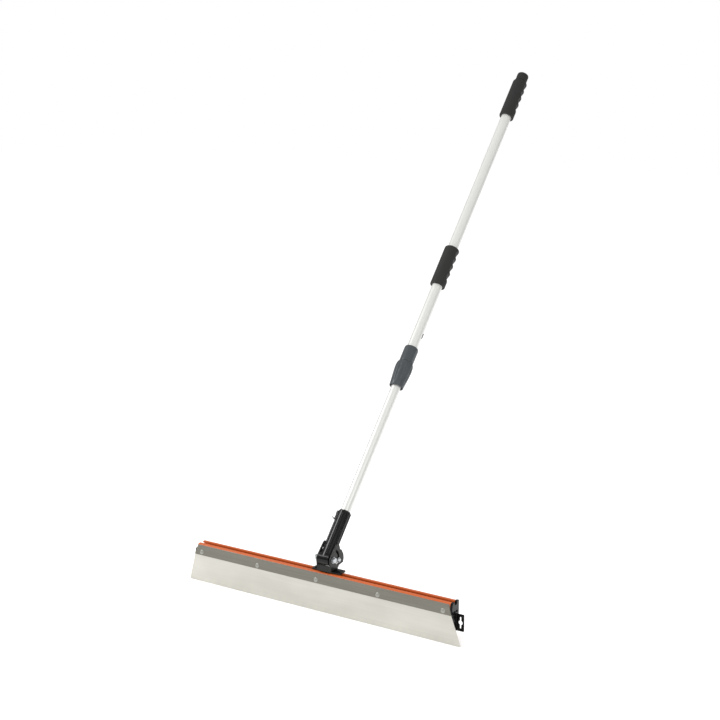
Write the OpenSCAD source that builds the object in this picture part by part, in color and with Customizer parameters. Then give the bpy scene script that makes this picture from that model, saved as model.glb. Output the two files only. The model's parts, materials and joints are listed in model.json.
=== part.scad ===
/* [Blade] */
// Width of the working edge of the blade
blade_w = 800; // [600:10:1000]
// Height of the blade below the clamp strip
blade_h = 75; // [55:1:90]
// Thickness of the spring steel
blade_t = 0.6; // [0.4:0.1:1]
// How much further each end of the blade reaches out at its working edge
blade_flare = 23.5; // [0:0.5:30]
// Backward lean of the free part of the blade, degrees
blade_lean = 4.5; // [0:0.5:8]

/* [Clamp strip] */
// Height of the strip that clamps the blade
strip_h = 25.5; // [22:0.5:26]
// Thickness of the strip
strip_t = 2; // [1.5:0.5:3]
// Lean of the clamped part of the blade, degrees
clamp_lean = 12; // [6:1:14]
// Number of rivets
rivets = 5; // [3:1:7]

/* [Rail] */
// Depth of the rail, front to back
rail_d = 29; // [28:1:34]
// Height of the rail
rail_h = 30; // [28:0.5:32]
// Width of the opening of the T-slot
slot_w = 11; // [9:0.5:12]
// Wall thickness of the rail
rail_wall = 3; // [2.5:0.5:3.5]

/* [Bracket] */
// Place of the bracket along the rail, from the middle of the blade
bracket_x = 20; // [-200:5:200]
// Clear width between the two cheeks
cheek_gap = 35; // [34:1:40]
// Thickness of the bent steel
cheek_t = 3; // [2:0.5:4]
// Length of the plate on the rail
plate_l = 82; // [80:1:100]
// Backward lean of the pole at rest, degrees
pole_lean = 42.1; // [30:0.1:50]

/* [Pole] */
// Outer diameter of the upper tube
outer_d = 28; // [27:0.5:30]
// Outer diameter of the lower tube
inner_d = 25; // [24:0.5:25]
// Wall thickness of both tubes
tube_wall = 1.2; // [1:0.1:1.4]
// Distance from the pivot to the lower end of the twist nut
nut_at = 487.5; // [400:0.5:560]
// Length of the upper tube
outer_l = 948.5; // [900:0.5:1100]
// Length of the lower tube
inner_l = 985; // [800:5:985]

/* [Grips] */
// Outer diameter of both grips
grip_d = 41; // [36:1:44]
// Length of the middle grip
mid_grip_l = 121; // [110:1:180]
// Length of the top grip
top_grip_l = 126; // [110:1:180]
// Turn of the finger grooves round the pole, degrees
groove_turn = 25; // [0:5:360]

/* [Hidden] */

// Roundness of turned parts
round_fn = 64;
// Straight pieces in each rounded corner of an outline
corner_steps = 6;
// Gap left between parts that slide or turn on each other
slip = 0.3;

// The bend line of the blade, at the lower edge of the clamp strip
knee_y = -blade_h * sin(blade_lean);
knee_z = blade_h * cos(blade_lean);
knee_w = blade_w - 2 * blade_flare;
// Change of half width of the blade for each millimetre of height
flare_rate = blade_flare / blade_h;
clamp_top_w = knee_w - 2 * flare_rate * strip_h;
blade_corner_r = 3;

// Rivets, through strip, blade and rail
rivet_up = 8;
rivet_inset = 22;
rivet_pitch = (knee_w - 2 * rivet_inset) / (rivets - 1);
rivet_shank_r = 2;
rivet_head_r = 5.8;
rivet_head_h = 1.9;
rivet_tail_r = 3.4;
rivet_tail_h = 2.2;
// Front wall of the rail, measured square to the clamp plane
rail_front_wall = 3;

// Section of the rail
rail_l = 742;
rail_bottom = knee_z - 3;
rail_chamfer = 4;
rail_top = rail_bottom + rail_h;
rail_lip = 3.5;
slot_y = 15;
cavity_w = 20;
cavity_h = 8;
cavity_z = rail_top - rail_lip - cavity_h;
chamber_top = cavity_z - rail_wall;
front_round = 5;
port_y = [12, 21.5];
port_z = rail_bottom + 6;
port_r = 3.8;
port_bore_r = 1.7;

// End caps
cap_t = 6;
cap_proud = 2;
tab_t = 3;
tab_y = 18;
tab_w = 26;
tab_top = knee_z - 2;
tab_h = 42;
hang_r = 5.5;
hang_slot_w = 4;
hang_slot_h = 29;
hang_x = rail_l / 2 + 16.9;
hang_z = tab_top - tab_h / 2;
cap_screw_head_r = 3.2;
cap_screw_head_h = 2;

// Slide plate and T-nut
plate_y0 = 8;
plate_d = 28;
plate_t = 4;
plate_z = rail_top + slip;
fork_z = plate_z + plate_t;
slide_screw_dx = 31;
slide_screw_r = 3;
slide_nut_l = 74;
neck_w = slot_w - 1;
nut_bar_w = cavity_w - 1.4;
nut_bar_h = 5.2;

// Pivot of the pole in the bracket
pivot_y = 10;
pivot_z = fork_z + 30.5;
pivot_r = 4;
pivot_fit = 0.05;
spacer_r = 8;
spacer_t = 1.7;
washer_t = 1.6;
lock_radius = 24;
lock_angle = -15;
lock_r = 3;
lock_slot_r = 3.4;
lock_slot_down = 22;
lock_slot_up = 67;
cheek_x = cheek_gap / 2;
// Top of the web between the cheeks, from the pivot
web_top = -14.8;
fork_front = -9;
fork_floor_d = 31;

// Socket of the pole
socket_r = 15.5;
socket_top = 128.5;
socket_floor = 14;
socket_ribs = 8;
socket_rib_r = 17;
socket_rib_w = 3.4;
socket_rib_z0 = 9;
knuckle_r = 15.5;
window_z0 = 102;
window_l = 17;
window_w = 12;
latch_pin_z = 121;
latch_pin_x = -18.2;
latch_pin_r = 1;
latch_knuckle_r = 2.4;
latch_in = 17.2;
latch_t = 3;
latch_w = 8.6;
latch_low = 104;
latch_nub_z = 109;
latch_nub_r = 2.25;
latch_hole_r = 4;
latch_ear_t = 2.2;
latch_spring_gap = 3.6;
spring_wire = 0.6;
spring_coil_r = 1.6;

// Tubes
inner_r = inner_d / 2;
outer_r = outer_d / 2;
outer_bore_r = outer_r - tube_wall;
inner_bore_r = inner_r - tube_wall;
inner_z0 = socket_floor;
inner_z1 = inner_z0 + inner_l;

// Twist lock
nut_l = 73;
sleeve_z1 = nut_at + nut_l + 46;
spigot_z0 = nut_at + 42;
spigot_r = 17;
sleeve_r = 18.7;
tube_z0 = spigot_z0 + 25;
tube_z1 = tube_z0 + outer_l;
collet_z0 = nut_at + 21;
nut_bore_r = inner_r + 0.4;
nut_cavity_r = spigot_r + 0.5;
nut_flutes = 12;

// Grips
mid_grip_z0 = nut_at + 314;
top_grip_z0 = tube_z1 - top_grip_l;
groove_pitch = 24;
groove_depth = 5;
groove_r = 15;
end_plug_r = 16.3;
end_plug_l = 27.5;
button_z = nut_at + 160.5;
button_r = 2.4;
plug_head_r = 2.7;
plug_head_l = 10;

// A corner of an outline, rounded to radius r with arc points
function unit(v) = v / norm(v);
function corner(a, b, c, r) = let (
    u = unit(a - b),
    v = unit(c - b),
    half = acos(max(-1, min(1, u * v))) / 2,
    centre = b + unit(u + v) * (r / sin(half)),
    from = b + u * (r / tan(half)) - centre,
    to = b + v * (r / tan(half)) - centre,
    turn = (from.x * to.y - from.y * to.x > 0 ? 1 : -1) * (180 - 2 * half))
    [for (i = [0:corner_steps]) let (t = turn * i / corner_steps)
        centre + [from.x * cos(t) - from.y * sin(t), from.x * sin(t) + from.y * cos(t)]];
// An outline with every corner rounded: each entry of p is [x, y, radius]
function rounded(p) = let (n = len(p)) [for (i = [0:n - 1])
    let (a = p[(i + n - 1) % n], b = p[i], c = p[(i + 1) % n])
    each (b.z == 0 ? [[b.x, b.y]] : corner([a.x, a.y], [b.x, b.y], [c.x, c.y], b.z))];
// Points of an arc round c
function arc(c, r, a0, a1, n) = [for (i = [0:n])
    c + r * [cos(a0 + (a1 - a0) * i / n), sin(a0 + (a1 - a0) * i / n)]];
// Front face of the rail at height z
function front_y(z) = knee_y + (z - knee_z) * tan(clamp_lean) + blade_t / cos(clamp_lean);

// Extrudes an outline in Y and Z along X, centred on x = 0
module along_x(l) {
    translate([-l / 2, 0, 0]) rotate([90, 0, 90]) linear_extrude(l) children();
}
// Extrudes an outline in X and Z backward, from y = 0 to y = t
module toward_back(t) {
    translate([0, t, 0]) rotate([90, 0, 0]) linear_extrude(t) children();
}
// A rod along X from x0 to x1
module rod_x(r, x0, x1, fn = round_fn) {
    translate([x0, 0, 0]) rotate([0, 90, 0]) cylinder(h = x1 - x0, r = r, $fn = fn);
}
// A rod along Y from y0 to y1
module rod_y(r, y0, y1, fn = round_fn) {
    translate([0, y1, 0]) rotate([90, 0, 0]) cylinder(h = y1 - y0, r = r, $fn = fn);
}
// A ring or tube along Z
module tube(ro, ri, z0, z1) {
    translate([0, 0, z0]) difference() {
        cylinder(h = z1 - z0, r = ro, $fn = round_fn);
        translate([0, 0, -1]) cylinder(h = z1 - z0 + 2, r = ri, $fn = round_fn);
    }
}
// The plane of the clamped part of the blade: z up the plane, y square to it and backward
module clamp_frame() {
    translate([0, knee_y, knee_z]) rotate([-clamp_lean, 0, 0]) children();
}
// The pivot of the pole, with the axes of the world
module pivot_frame() {
    translate([bracket_x, pivot_y, pivot_z]) children();
}
// The pole: z along it from the pivot, y towards its underside
module pole_frame() {
    pivot_frame() rotate([-pole_lean, 0, 0]) children();
}
// The place of the lock bolt, beside the pivot
module lock_place() {
    pivot_frame() translate([0, lock_radius * cos(lock_angle), lock_radius * sin(lock_angle)])
        children();
}
// ---- head ----

module blade() {
    color([0.86, 0.85, 0.81]) {
        translate([0, knee_y, knee_z]) rotate([blade_lean, 0, 0]) toward_back(blade_t)
            polygon(rounded([
                [-knee_w / 2, 0, 0],
                [-blade_w / 2, -blade_h, blade_corner_r],
                [blade_w / 2, -blade_h, blade_corner_r],
                [knee_w / 2, 0, 0]]));
        clamp_frame() difference() {
            toward_back(blade_t) polygon([
                [-knee_w / 2, 0], [knee_w / 2, 0],
                [clamp_top_w / 2, strip_h], [-clamp_top_w / 2, strip_h]]);
            rivet_places() rod_y(rivet_shank_r, -1, blade_t + 1);
        }
    }
}

module clamp_strip() {
    color([0.48, 0.48, 0.45]) clamp_frame() difference() {
        translate([0, -strip_t, 0]) toward_back(strip_t) polygon(rounded([
            [-knee_w / 2, 0, 1], [knee_w / 2, 0, 1],
            [clamp_top_w / 2, strip_h, 1], [-clamp_top_w / 2, strip_h, 1]]));
        rivet_places() rod_y(rivet_shank_r, -strip_t - 1, 1);
    }
}

module rivet_places() {
    for (i = [0:rivets - 1])
        translate([(i - (rivets - 1) / 2) * rivet_pitch, 0, rivet_up]) children();
}

module blade_rivets() {
    tail_y = blade_t + rail_front_wall;
    color([0.72, 0.74, 0.73]) clamp_frame() rivet_places() {
        rod_y(rivet_shank_r, -strip_t, tail_y);
        translate([0, -strip_t, 0]) rotate([90, 0, 0])
            cylinder(h = rivet_head_h, r1 = rivet_head_r, r2 = rivet_head_r * 0.7, $fn = round_fn);
        rod_y(rivet_tail_r, tail_y, tail_y + rivet_tail_h);
    }
}

module rail_outline() {
    polygon(rounded([
        [front_y(knee_z + slip), knee_z + slip, 0],
        [front_y(knee_z) + rail_chamfer, rail_bottom, 0.8],
        [rail_d, rail_bottom, 3],
        [rail_d, rail_top, 1.5],
        [front_y(rail_top), rail_top, front_round]]));
}

module rail() {
    slot0 = slot_y - slot_w / 2;
    slot1 = slot_y + slot_w / 2;
    cav0 = slot_y - cavity_w / 2;
    cav1 = slot_y + cavity_w / 2;
    inner0 = rail_bottom + rail_wall;
    front_wall = rail_front_wall / cos(clamp_lean);
    color([0.86, 0.42, 0.18]) difference() {
        along_x(rail_l) difference() {
            rail_outline();
            polygon([[slot0, rail_top + 1], [slot0, rail_top - rail_lip],
                [cav0, rail_top - rail_lip], [cav0, cavity_z], [cav1, cavity_z],
                [cav1, rail_top - rail_lip], [slot1, rail_top - rail_lip], [slot1, rail_top + 1]]);
            difference() {
                polygon(rounded([
                    [front_y(inner0) + front_wall, inner0, 1],
                    [rail_d - rail_wall, inner0, 1],
                    [rail_d - rail_wall, chamber_top, 1],
                    [front_y(chamber_top) + front_wall, chamber_top, 1]]));
                for (y = port_y) translate([y, port_z]) {
                    circle(r = port_r, $fn = round_fn);
                    translate([-port_r, -port_r]) square([2 * port_r, port_r]);
                }
            }
            for (y = port_y) translate([y, port_z]) circle(r = port_bore_r, $fn = round_fn);
        }
        clamp_frame() rivet_places() rod_y(rivet_shank_r, -1, blade_t + rail_front_wall + 1);
    }
}

// Takes the holes for the cap's screws out of a plate on the right end of the rail
module cap_screw_holes() {
    difference() {
        children();
        for (y = port_y) translate([rail_l / 2, y, port_z]) rod_x(port_bore_r, -1, cap_t + 1);
    }
}

module end_cap_right() {
    x0 = rail_l / 2;
    color([0.10, 0.10, 0.10]) {
        cap_screw_holes() translate([x0 + cap_t / 2, 0, 0]) along_x(cap_t) difference() {
            // it stands a little proud of the rail behind, and its leg tapers down to the tab
            polygon(rounded([
                [front_y(knee_z + slip), knee_z + slip, 0],
                [front_y(knee_z) + rail_chamfer, rail_bottom, 0],
                [tab_y - 5, tab_top - tab_h, 2],
                [tab_y + tab_t + 4, tab_top - tab_h, 2],
                [rail_d + cap_proud, rail_bottom, 3],
                [rail_d + cap_proud, rail_top + cap_proud / 2, 1.5],
                [front_y(rail_top + cap_proud / 2), rail_top + cap_proud / 2, front_round]]));
            translate([slot_y - slot_w / 2, rail_top - 6]) square([slot_w, 10]);
        }
        difference() {
            translate([0, tab_y, 0]) toward_back(tab_t) polygon(rounded([
                [x0 + 1, tab_top - tab_h, 0], [x0 + tab_w, tab_top - tab_h, 2],
                [x0 + tab_w, tab_top, 2], [x0 + 1, tab_top, 0]]));
            translate([hang_x, 0, hang_z]) rod_y(hang_r, tab_y - 1, tab_y + tab_t + 1);
            translate([hang_x - hang_slot_w / 2, tab_y - 1, hang_z - hang_slot_h / 2])
                cube([hang_slot_w, tab_t + 2, hang_slot_h]);
        }
    }
}

// The left cap closes only the chamber, so the slot is open at that end
module end_cap_left() {
    color([0.10, 0.10, 0.10]) mirror([1, 0, 0]) cap_screw_holes()
        translate([rail_l / 2 + cap_t / 2, 0, 0]) along_x(cap_t) intersection() {
            rail_outline();
            translate([-20, rail_bottom - 1]) square([80, cavity_z - rail_bottom]);
        }
}

module end_cap_screws() {
    color([0.2, 0.2, 0.2]) for (side = [0, 1]) mirror([side, 0, 0])
        for (y = port_y) translate([rail_l / 2 + cap_t, y, port_z]) {
            rod_x(port_bore_r, -cap_t - 10, 0);
            rotate([0, 90, 0]) cylinder(h = cap_screw_head_h, r1 = cap_screw_head_r,
                r2 = cap_screw_head_r * 0.75, $fn = round_fn);
        }
}

// ---- bracket ----

module slide_screw_places() {
    for (side = [-1, 1])
        translate([bracket_x + side * slide_screw_dx, slot_y, 0]) children();
}

module slide_plate() {
    color([0.09, 0.09, 0.09]) difference() {
        translate([bracket_x, 0, plate_z]) linear_extrude(plate_t) polygon(rounded([
            [-plate_l / 2, plate_y0, 3], [plate_l / 2, plate_y0, 3],
            [plate_l / 2, plate_y0 + plate_d, 3], [-plate_l / 2, plate_y0 + plate_d, 3]]));
        slide_screw_places() translate([0, 0, plate_z - 1])
            cylinder(h = plate_t + 2, r = slide_screw_r, $fn = round_fn);
    }
}

module slide_t_nut() {
    bar_top = rail_top - rail_lip - slip;
    color([0.55, 0.56, 0.57]) difference() {
        translate([bracket_x, 0, 0]) along_x(slide_nut_l) polygon([
            [slot_y - nut_bar_w / 2, bar_top - nut_bar_h], [slot_y + nut_bar_w / 2, bar_top - nut_bar_h],
            [slot_y + nut_bar_w / 2, bar_top], [slot_y + neck_w / 2, bar_top],
            [slot_y + neck_w / 2, plate_z], [slot_y - neck_w / 2, plate_z],
            [slot_y - neck_w / 2, bar_top], [slot_y - nut_bar_w / 2, bar_top]]);
        slide_screw_places() translate([0, 0, bar_top - nut_bar_h - 1])
            cylinder(h = nut_bar_h + rail_lip + 4, r = slide_screw_r, $fn = round_fn);
    }
}

module slide_screws() {
    head_h = 3;
    socket_depth = 1.6;
    color([0.15, 0.15, 0.16]) slide_screw_places() difference() {
        union() {
            translate([0, 0, plate_z - 10]) cylinder(h = plate_t + 11, r = slide_screw_r, $fn = round_fn);
            translate([0, 0, fork_z]) cylinder(h = head_h, r1 = 5.2, r2 = 4.2, $fn = round_fn);
        }
        translate([0, 0, fork_z + head_h - socket_depth]) cylinder(h = 3, r = 2.2, $fn = 6);
    }
}

// Side view of a cheek: Y backward and Z up, from the pivot
module cheek_outline() {
    foot = fork_z - pivot_z;
    polygon(rounded([
        [fork_front, foot, 0], [-14, 3, 6], [-5, 13, 10], [17, 34, 5], [26, 37, 4], [33, 17, 5],
        [38, 16, 2], [46.5, 2.5, 6], [48, -9, 5], [45, -19, 4], [26, -21, 4], [fork_front + fork_floor_d, foot, 0]]));
}

// The slot that the lock bolt runs in, as a ring sector with round ends
module lock_slot_outline() {
    a0 = lock_angle - lock_slot_down;
    a1 = lock_angle + lock_slot_up;
    mid0 = lock_radius * [cos(a0), sin(a0)];
    mid1 = lock_radius * [cos(a1), sin(a1)];
    polygon(concat(
        arc([0, 0], lock_radius + lock_slot_r, a0, a1, 24),
        arc(mid1, lock_slot_r, a1, a1 + 180, 8),
        arc([0, 0], lock_radius - lock_slot_r, a1, a0, 24),
        arc(mid0, lock_slot_r, a0 + 180, a0 + 360, 8)));
}

module bracket_fork() {
    half = cheek_x + cheek_t;
    foot = fork_z - pivot_z;
    color([0.10, 0.10, 0.10]) difference() {
        union() {
            // the floor and the bends
            pivot_frame() translate([0, fork_front, foot]) toward_back(fork_floor_d) polygon(concat(
                arc([-half + 4, 4], 4, 180, 270, corner_steps),
                arc([half - 4, 4], 4, 270, 360, corner_steps),
                [[half, 9], [cheek_x, 9]],
                arc([cheek_x - 1, cheek_t + 1], 1, 0, -90, corner_steps),
                arc([-cheek_x + 1, cheek_t + 1], 1, -90, -180, corner_steps),
                [[-cheek_x, 9], [-half, 9]]));
            // the front web
            pivot_frame() translate([-cheek_x - 1, fork_front, foot + 1])
                cube([cheek_gap + 2, cheek_t, web_top - foot - 1]);
            for (side = [-1, 1]) pivot_frame()
                translate([side * (cheek_x + cheek_t / 2), 0, 0]) along_x(cheek_t)
                    intersection() {
                        cheek_outline();
                        translate([-60, foot + 5]) square([140, 100]);
                    }
        }
        pivot_frame() {
            rod_x(pivot_r + pivot_fit, -half - 1, half + 1);
            along_x(2 * half + 2) lock_slot_outline();
        }
    }
}

module pivot_bolt() {
    out = cheek_x + cheek_t + washer_t;
    color([0.75, 0.76, 0.76]) pivot_frame() {
        rod_x(pivot_r, -out - 9, out);
        rod_x(7.2, out, out + 5.3, 6);
    }
}

module pivot_nut() {
    out = cheek_x + cheek_t + washer_t;
    color([0.75, 0.76, 0.76]) pivot_frame() difference() {
        rod_x(7.2, -out - 7.5, -out, 6);
        rod_x(pivot_r, -out - 8, -out + 1);
    }
}

module pivot_washers() {
    out = cheek_x + cheek_t;
    color([0.78, 0.79, 0.79]) pivot_frame() for (x = [-out - washer_t, out]) difference() {
        rod_x(spacer_r, x, x + washer_t);
        rod_x(pivot_r, x - 1, x + washer_t + 1);
    }
}

module pivot_spacers() {
    color([0.78, 0.79, 0.79]) pivot_frame() for (x = [-cheek_x, cheek_x - spacer_t]) difference() {
        rod_x(spacer_r, x, x + spacer_t);
        rod_x(pivot_r, x - 1, x + spacer_t + 1);
    }
}

// ---- socket and lower tube ----

module pole_socket() {
    lock_y = lock_radius * cos(lock_angle + pole_lean);
    lock_z = lock_radius * sin(lock_angle + pole_lean);
    latch_y = latch_w / 2 + slip;
    color([0.10, 0.10, 0.11]) difference() {
        union() {
            pole_frame() {
                cylinder(h = socket_top - 2, r = socket_r, $fn = round_fn);
                translate([0, 0, socket_top - 2])
                    cylinder(h = 2, r1 = socket_r, r2 = socket_r - 1.5, $fn = round_fn);
                for (i = [0:socket_ribs - 1]) rotate([0, 0, (i + 0.5) * 360 / socket_ribs])
                    translate([socket_r - 1.5, -socket_rib_w / 2, socket_rib_z0])
                        cube([socket_rib_r - socket_r + 1.5, socket_rib_w, socket_top - socket_rib_z0 - 3]);
                rod_x(knuckle_r, -socket_r, socket_r);
                // the block behind the knuckle and the tube, down to the lock bolt
                along_x(2 * socket_r) polygon([
                    [0, -10], [0, 24], [socket_r - 1, 42],
                    [lock_y + 6, lock_z + 7], [lock_y + 3, lock_z - 7.5], [6, -knuckle_r + 1.4]]);
                for (side = [-1, 1]) translate([-20, side * (latch_y + latch_ear_t / 2), latch_pin_z])
                    translate([0, -latch_ear_t / 2, -4]) cube([6, latch_ear_t, 8]);
            }
            lock_place() rod_x(8, -socket_r, socket_r);
        }
        pivot_frame() rod_x(pivot_r + pivot_fit, -socket_r - 1, socket_r + 1);
        lock_place() rod_x(lock_r, -socket_r - 1, socket_r + 1);
        pole_frame() {
            translate([0, 0, socket_floor])
                cylinder(h = socket_top, r = inner_r, $fn = round_fn);
            translate([-20, -window_w / 2, window_z0]) cube([12, window_w, window_l]);
            translate([0, 0, latch_nub_z]) rod_x(latch_hole_r, -20, -8);
            translate([latch_pin_x, 0, latch_pin_z]) rod_y(latch_pin_r, -12, 12);
        }
    }
}

module lock_bolt() {
    out = cheek_x + cheek_t + slip;
    color([0.75, 0.76, 0.76]) lock_place() {
        rod_x(lock_r, -out - 9, out + washer_t);
        translate([out + washer_t, 0, 0]) rotate([0, 90, 0])
            cylinder(h = 3, r1 = 5.8, r2 = 4, $fn = round_fn);
    }
}

module lock_washers() {
    out = cheek_x + cheek_t + slip;
    color([0.78, 0.79, 0.79]) lock_place() for (x = [-out - washer_t, out]) difference() {
        rod_x(6.4, x, x + washer_t);
        rod_x(lock_r, x - 1, x + washer_t + 1);
    }
}

module lock_nut() {
    out = cheek_x + cheek_t + slip + washer_t;
    color([0.75, 0.76, 0.76]) lock_place() difference() {
        rod_x(5.6, -out - 5.5, -out, 6);
        rod_x(lock_r, -out - 6, -out + 1);
    }
}

// A lever that hangs down along the socket's window, with a nub that drops into the lower tube
module socket_latch() {
    back = -latch_in - latch_t;
    gap_low = latch_pin_z - latch_knuckle_r - 0.5;
    color([0.13, 0.13, 0.13]) pole_frame() difference() {
        union() {
            translate([latch_pin_x, 0, latch_pin_z]) rod_y(latch_knuckle_r, -latch_w / 2, latch_w / 2);
            // the arm, and the finger tab bent outward and up at its lower end
            translate([0, -latch_w / 2, 0]) toward_back(latch_w) polygon([
                [back + 0.2, latch_pin_z], [-latch_in - 0.4, latch_pin_z], [-latch_in, gap_low],
                [-latch_in, latch_low], [back, latch_low - 2], [back - 8.6, latch_low + 3.2],
                [back - 7.6, latch_low + 5], [back, latch_low + 1.2], [back, gap_low]]);
            translate([-latch_in - 0.5, 0, latch_nub_z])
                rotate([0, 90, 0]) cylinder(h = latch_in - 10.4, r = latch_nub_r, $fn = round_fn);
        }
        translate([latch_pin_x, 0, latch_pin_z]) rod_y(latch_pin_r + 0.05, -latch_w, latch_w);
        // the gap that the spring's coil sits in
        translate([back - 2, -latch_spring_gap / 2, gap_low])
            cube([latch_t + 5, latch_spring_gap, latch_pin_z - gap_low + 5]);
    }
}

module latch_pin() {
    reach = latch_w / 2 + slip + latch_ear_t;
    color([0.70, 0.71, 0.71]) pole_frame()
        translate([latch_pin_x, 0, latch_pin_z]) rod_y(latch_pin_r, -reach, reach);
}

// A coil round the pin, whose leg lies on the back of the lever and presses it to the tube
module latch_spring() {
    color([0.60, 0.61, 0.62]) pole_frame() translate([latch_pin_x, 0, latch_pin_z]) {
        for (i = [-2:2]) translate([0, i * spring_wire * 0.9, 0]) rotate([90, 0, 0])
            rotate_extrude($fn = round_fn) translate([spring_coil_r, 0]) circle(r = spring_wire / 2, $fn = 16);
        translate([-latch_t + 0.98 - spring_wire / 2, 0, spring_coil_r - 14])
            cylinder(h = 14, r = spring_wire / 2, $fn = 16);
    }
}

module inner_tube() {
    color([0.90, 0.91, 0.90]) pole_frame() difference() {
        tube(inner_r, inner_bore_r, inner_z0, inner_z1);
        translate([0, 0, latch_nub_z]) rod_x(latch_hole_r, -20, -8);
    }
}

module tube_plug() {
    color([0.15, 0.15, 0.15]) pole_frame() translate([0, 0, inner_z0])
        cylinder(h = 16, r = inner_bore_r, $fn = round_fn);
}

// Closes the top of the lower tube and runs inside the upper one
module guide_bush() {
    color([0.85, 0.85, 0.82]) pole_frame() {
        translate([0, 0, inner_z1 - 18]) cylinder(h = 18, r = inner_bore_r, $fn = round_fn);
        translate([0, 0, inner_z1]) cylinder(h = 7, r = outer_bore_r - 0.1, $fn = round_fn);
    }
}

// ---- twist lock ----

module twist_nut() {
    rim_z = nut_at + nut_l;
    color([0.30, 0.32, 0.33]) pole_frame() difference() {
        rotate_extrude($fn = round_fn) polygon([
            [nut_bore_r, nut_at + 6], [17, nut_at], [18.6, nut_at], [19.6, nut_at + 14],
            [22.2, nut_at + 38], [23.1, nut_at + 48], [23.1, nut_at + 58], [22.2, nut_at + 66],
            [20.6, nut_at + 70.5], [18.9, rim_z], [nut_cavity_r, rim_z], [nut_cavity_r, spigot_z0 - 22],
            [nut_bore_r, spigot_z0 - 25]]);
        for (i = [0:nut_flutes - 1]) rotate([0, 0, i * 360 / nut_flutes])
            translate([26.3, 0, nut_at + 16]) cylinder(h = 42, r = 4.2, $fn = round_fn);
        tube(nut_bore_r + 2, 1, nut_at + 9, nut_at + 13);
    }
}

module wiper_ring() {
    color([0.12, 0.12, 0.12]) pole_frame() tube(nut_bore_r + 2, inner_r + slip, nut_at + 9, nut_at + 13);
}

module collar_sleeve() {
    shoulder = nut_at + nut_l + 0.5;
    color([0.33, 0.35, 0.36]) pole_frame() difference() {
        rotate_extrude($fn = round_fn) polygon([
            [outer_bore_r, spigot_z0 + 3], [spigot_r - 1, spigot_z0], [spigot_r, spigot_z0 + 2],
            [spigot_r, shoulder], [17.6, shoulder], [sleeve_r - 0.3, shoulder + 1.5],
            [sleeve_r, sleeve_z1 - 6], [sleeve_r - 2.2, sleeve_z1], [outer_r, sleeve_z1],
            [outer_r, tube_z0], [outer_bore_r, tube_z0]]);
    }
}

// A split tapered ring that the twist nut squeezes onto the lower tube
module collet() {
    color([0.80, 0.80, 0.76]) pole_frame() difference() {
        rotate_extrude($fn = round_fn) polygon([
            [inner_r + 0.1, collet_z0], [inner_r + 1.6, collet_z0], [inner_r + 3.4, collet_z0 + 12],
            [inner_r + 3.4, spigot_z0], [inner_r + 0.1, spigot_z0]]);
        for (a = [0, 120, 240]) rotate([0, 0, a])
            translate([inner_r - 1, -1, collet_z0 - 1]) cube([8, 2, 15]);
    }
}

// ---- upper tube and grips ----

module outer_tube() {
    color([0.91, 0.92, 0.91]) pole_frame() difference() {
        tube(outer_r, outer_bore_r, tube_z0, tube_z1);
        translate([0, 0, button_z]) rotate([0, 0, groove_turn]) rod_x(button_r, 10, 20);
    }
}

module hole_plug() {
    color([0.12, 0.12, 0.12]) pole_frame() translate([0, 0, button_z]) rotate([0, 0, groove_turn]) {
        rod_x(button_r, outer_bore_r + slip, outer_r);
        // the oblong head, lengthwise on the tube
        difference() {
            translate([outer_r - 1.5, 0, 0]) {
                for (side = [-1, 1]) translate([0, 0, side * plug_head_l / 2])
                    rod_x(plug_head_r, 0, 2.7);
                translate([0, -plug_head_r, -plug_head_l / 2])
                    cube([2.7, 2 * plug_head_r, plug_head_l]);
            }
            translate([0, 0, -plug_head_l]) cylinder(h = 2 * plug_head_l, r = outer_r, $fn = round_fn);
        }
    }
}

// A sleeve round the upper tube with finger grooves on one side
module grip(z0, l, grooves) {
    difference() {
        pole_frame() rotate_extrude($fn = round_fn) polygon(rounded([
            [outer_r, z0, 0], [grip_d / 2, z0, 1.5], [grip_d / 2, z0 + l, 5], [outer_r, z0 + l, 0]]));
        for (i = [0:grooves - 1]) pole_frame() rotate([0, 0, groove_turn])
            translate([grip_d / 2 + groove_r - groove_depth, 0, z0 + l - 17 - groove_pitch * i])
                rod_y(groove_r, -40, 40);
    }
}

module mid_grip() {
    color([0.20, 0.20, 0.19]) grip(mid_grip_z0, mid_grip_l, 4);
}

module top_grip() {
    color([0.20, 0.20, 0.20]) grip(top_grip_z0, top_grip_l, 4);
}

module end_plug() {
    color([0.18, 0.18, 0.18]) pole_frame() {
        translate([0, 0, tube_z1 - 22]) cylinder(h = 22, r = outer_bore_r, $fn = round_fn);
        rotate_extrude($fn = round_fn) polygon(rounded([
            [0, tube_z1, 0], [end_plug_r, tube_z1, 0], [end_plug_r, tube_z1 + end_plug_l, 3],
            [0, tube_z1 + end_plug_l, 0]]));
    }
}

blade();
clamp_strip();
blade_rivets();
rail();
end_cap_left();
end_cap_right();
end_cap_screws();
slide_plate();
slide_t_nut();
slide_screws();
bracket_fork();
pivot_bolt();
pivot_nut();
pivot_washers();
pivot_spacers();
pole_socket();
lock_bolt();
lock_nut();
lock_washers();
socket_latch();
latch_pin();
latch_spring();
inner_tube();
tube_plug();
guide_bush();
twist_nut();
wiper_ring();
collar_sleeve();
collet();
outer_tube();
hole_plug();
mid_grip();
top_grip();
end_plug();
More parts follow.
